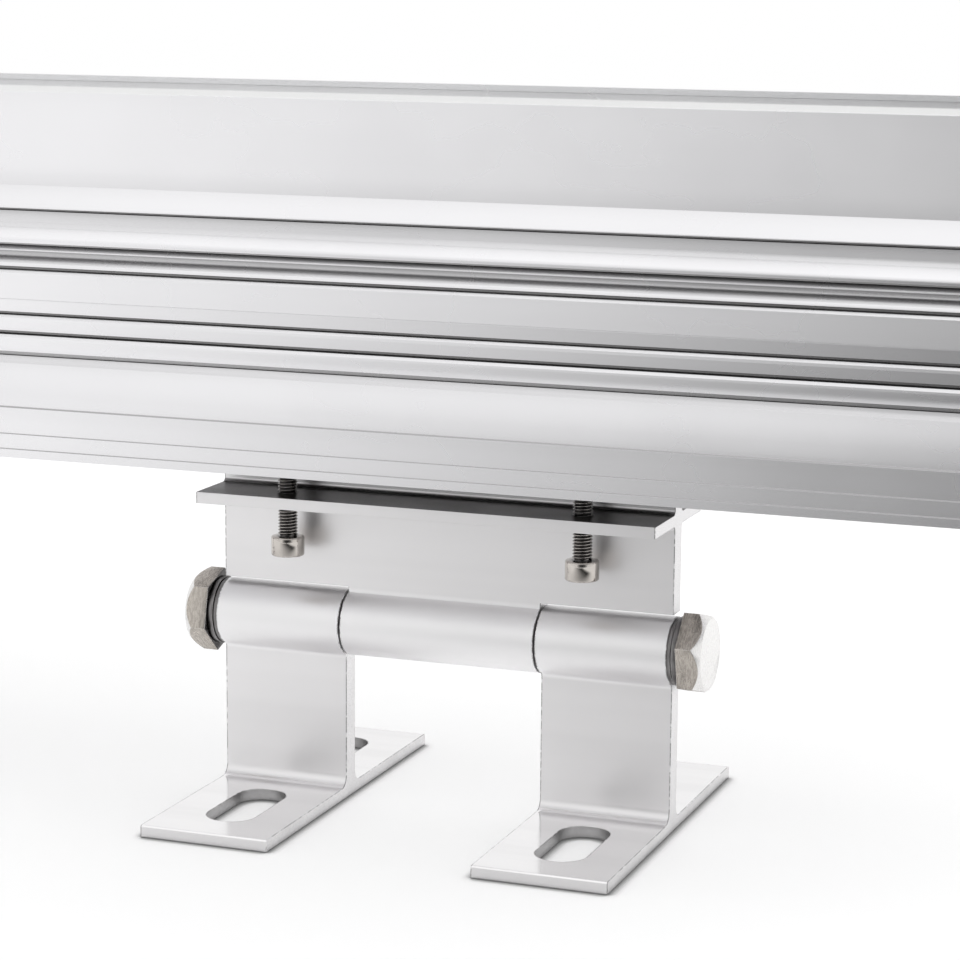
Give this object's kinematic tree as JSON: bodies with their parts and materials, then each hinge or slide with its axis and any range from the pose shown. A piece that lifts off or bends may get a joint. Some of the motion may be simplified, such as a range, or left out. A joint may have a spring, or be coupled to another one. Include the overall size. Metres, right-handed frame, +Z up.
{
  "type": "linear floodlight",
  "caption": "Linear floodlight: a ribbed aluminium body with a glass top, clamped to two hinged brackets on slotted foot plates.",
  "frame": {"origin": "centre of the footprint, on the plane the foot plates stand on", "axes": "+X along the lamp, +Y from the pictured front to the back, +Z up out of the plates, towards the glass"},
  "size_m": [0.6366, 0.106, 0.1826],
  "materials": {
    "body_aluminium": "satin anodised",
    "bracket_aluminium": "satin anodised",
    "cover_glass": "clear, polished",
    "silicone": "matte",
    "driver_case": "matte",
    "small_screw_steel": "zinc",
    "screw_stainless": "polished stainless",
    "bolt_stainless": "drawn stainless",
    "washer_stainless": "satin stainless",
    "connector_white": "matte",
    "black_rubber": "matte",
    "lead_sheath": "matte",
    "board_white": "white solder mask",
    "led_phosphor": "phosphor",
    "lens_clear": "clear, moulded",
    "gland_nylon": "moulded"
  },
  "bodies": {
    "left_feet": {"foot_left_outer": "bracket_aluminium", "foot_left_inner": "bracket_aluminium"},
    "left_bracket": {"clamp_bracket_left": "bracket_aluminium", "clamp_screws_left": "screw_stainless", "pivot_bolt_left_outer": "bolt_stainless", "flat_washer_left_outer": "washer_stainless", "spring_washer_left_outer": "washer_stainless", "pivot_bolt_left_inner": "bolt_stainless", "flat_washer_left_inner": "washer_stainless", "spring_washer_left_inner": "washer_stainless"},
    "lamp": {"housing": "body_aluminium", "cover_glass": "cover_glass", "glass_gasket": "silicone", "driver": "driver_case", "driver_screws": "small_screw_steel", "board_link": "connector_white", "lead_terminal": "connector_white", "floor_grommet": "black_rubber", "led_lead": "lead_sheath", "led_board_left": "board_white", "led_chips_left": "led_phosphor", "lenses_left": "lens_clear", "board_screws_left": "small_screw_steel", "end_cap_left": "body_aluminium", "cap_gasket_left": "silicone", "cap_screws_left": "screw_stainless", "gland_body_left": "gland_nylon", "gland_seal_left": "black_rubber", "gland_insert_left": "black_rubber", "gland_dome_nut_left": "gland_nylon", "gland_lock_nut_left": "gland_nylon", "supply_lead_left": "lead_sheath", "led_board_right": "board_white", "led_chips_right": "led_phosphor", "lenses_right": "lens_clear", "board_screws_right": "small_screw_steel", "end_cap_right": "body_aluminium", "cap_gasket_right": "silicone", "cap_screws_right": "screw_stainless", "gland_body_right": "gland_nylon", "gland_seal_right": "black_rubber", "gland_insert_right": "black_rubber", "gland_dome_nut_right": "gland_nylon", "gland_lock_nut_right": "gland_nylon", "supply_lead_right": "lead_sheath"},
    "right_bracket": {"clamp_bracket_right": "bracket_aluminium", "clamp_screws_right": "screw_stainless", "pivot_bolt_right_outer": "bolt_stainless", "flat_washer_right_outer": "washer_stainless", "spring_washer_right_outer": "washer_stainless", "pivot_bolt_right_inner": "bolt_stainless", "flat_washer_right_inner": "washer_stainless", "spring_washer_right_inner": "washer_stainless"},
    "right_feet": {"foot_right_outer": "bracket_aluminium", "foot_right_inner": "bracket_aluminium"}
  },
  "joints": [
    {"name": "tilt", "type": "hinge", "parent": "left_feet", "child": "left_bracket", "pos_m": [0, 0, 0.0466], "axis": [1, 0, 0], "range_deg": [-75, 75]},
    {"name": "lamp_slide", "type": "slide", "parent": "left_bracket", "child": "lamp", "axis": [1, 0, 0], "range_m": [-0.08, 0.08]},
    {"name": "right_bracket_slide", "type": "slide", "parent": "lamp", "child": "right_bracket", "axis": [1, 0, 0], "range_m": [-0.08, 0.08]},
    {"name": "right_feet_tilt", "type": "hinge", "parent": "right_bracket", "child": "right_feet", "pos_m": [0, 0, 0.0466], "axis": [1, 0, 0], "range_deg": [-75, 75]}
  ],
  "couplings": [
    {"joint": "right_feet_tilt", "follows": "tilt", "ratio": -1}
  ]
}
